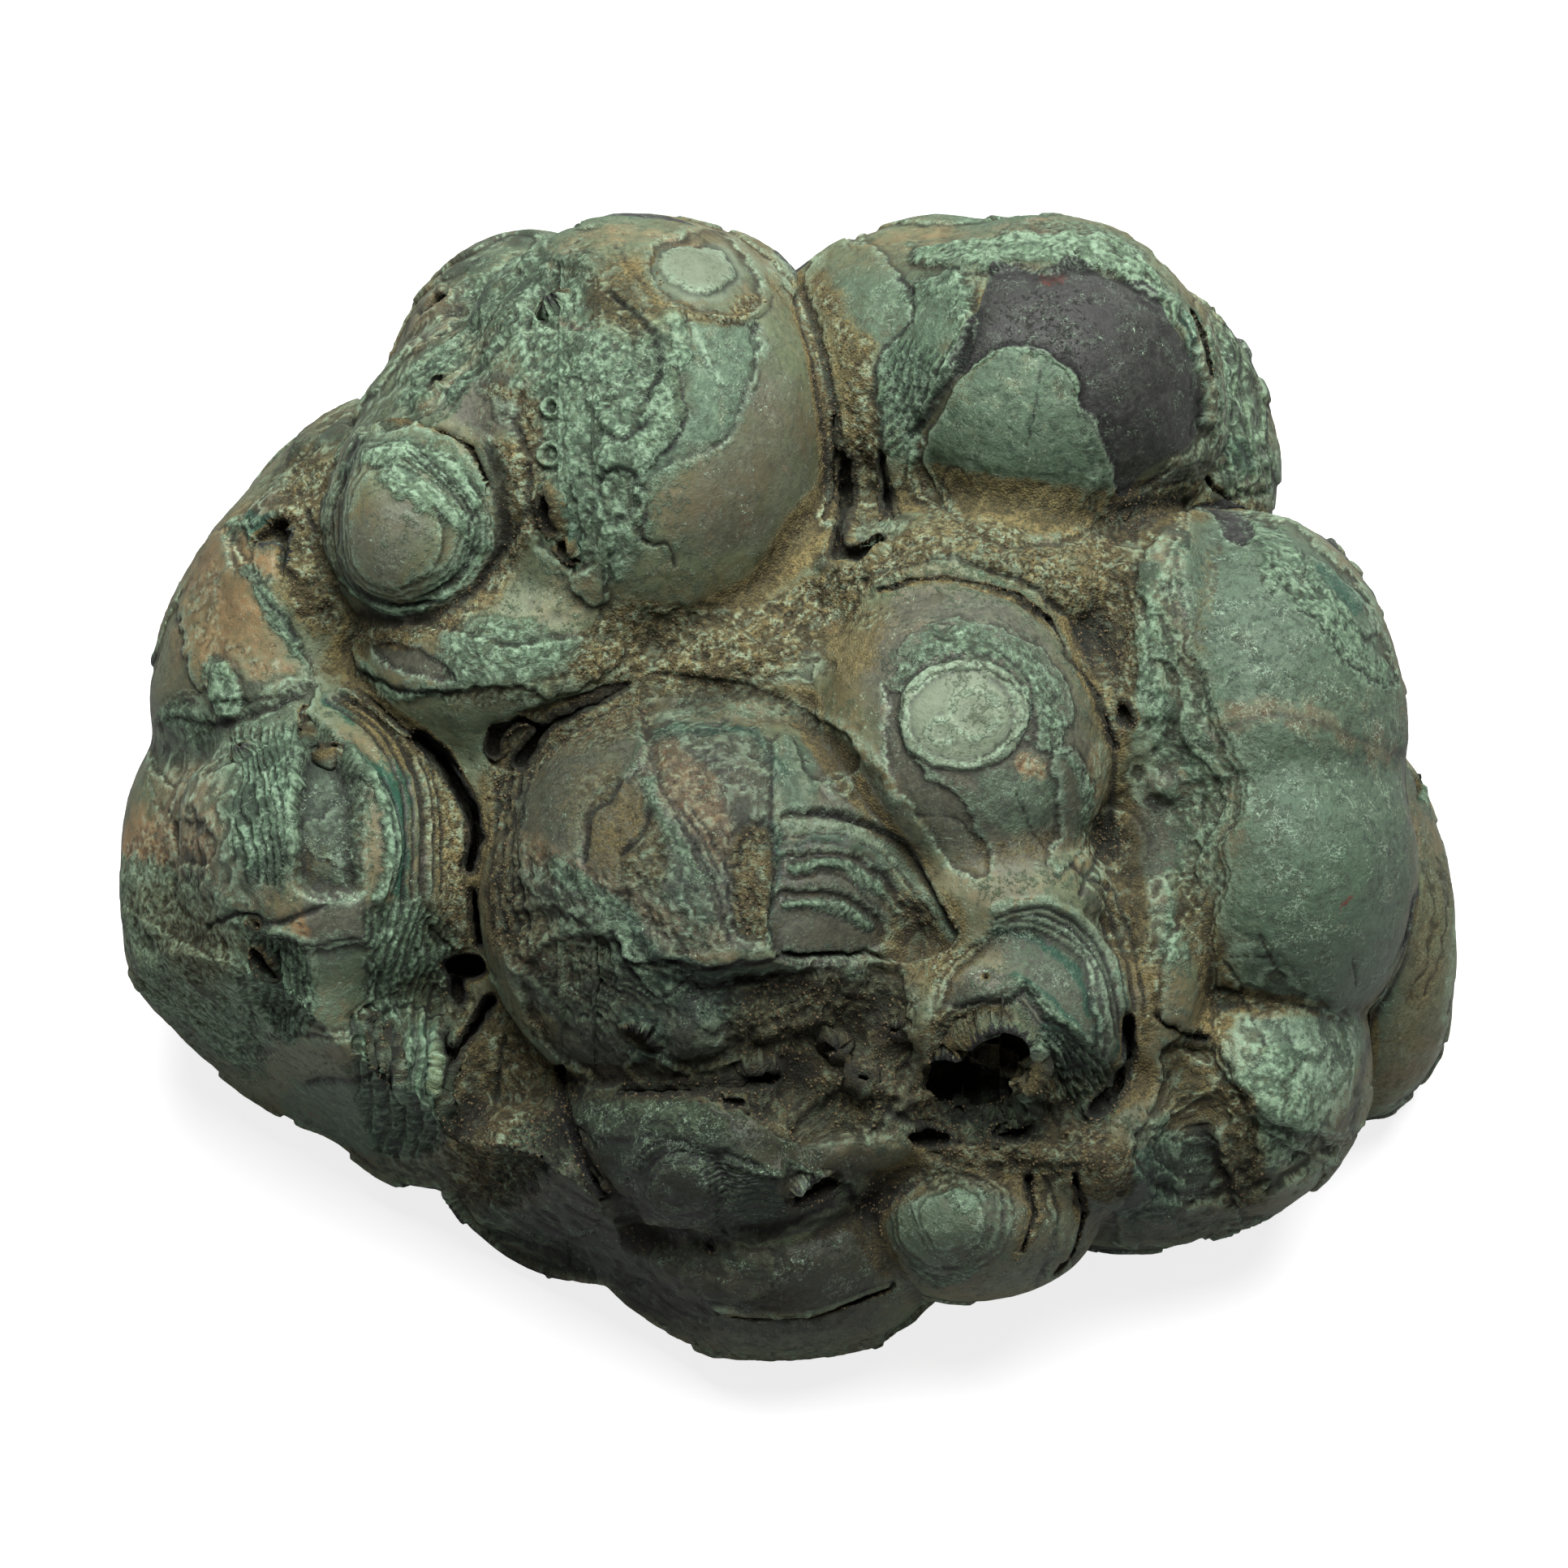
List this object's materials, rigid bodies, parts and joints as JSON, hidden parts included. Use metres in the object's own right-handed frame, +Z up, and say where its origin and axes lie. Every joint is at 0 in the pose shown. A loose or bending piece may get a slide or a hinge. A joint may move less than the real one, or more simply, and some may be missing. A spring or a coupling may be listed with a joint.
{
  "type": "malachite specimen",
  "caption": "Natural botryoidal mineral specimen: rounded green lobes of layered malachite grown into one solid mass, with peeled layers and gritty crevices, on a flat sawn base.",
  "frame": {"origin": "middle of the bounding box, on the plane of the sawn base", "axes": "+Z up from the sawn base; the lobed face leans back and looks along -Y and up; +X runs to the right of someone looking at the face"},
  "size_m": [0.2423, 0.2006, 0.1643],
  "materials": {
    "malachite": "weathered mineral skin: olive, teal and mint green with purple-grey patches and brown grit, dull to faintly satin"
  },
  "bodies": {
    "root": {"malachite_specimen": "malachite"}
  },
  "joints": []
}
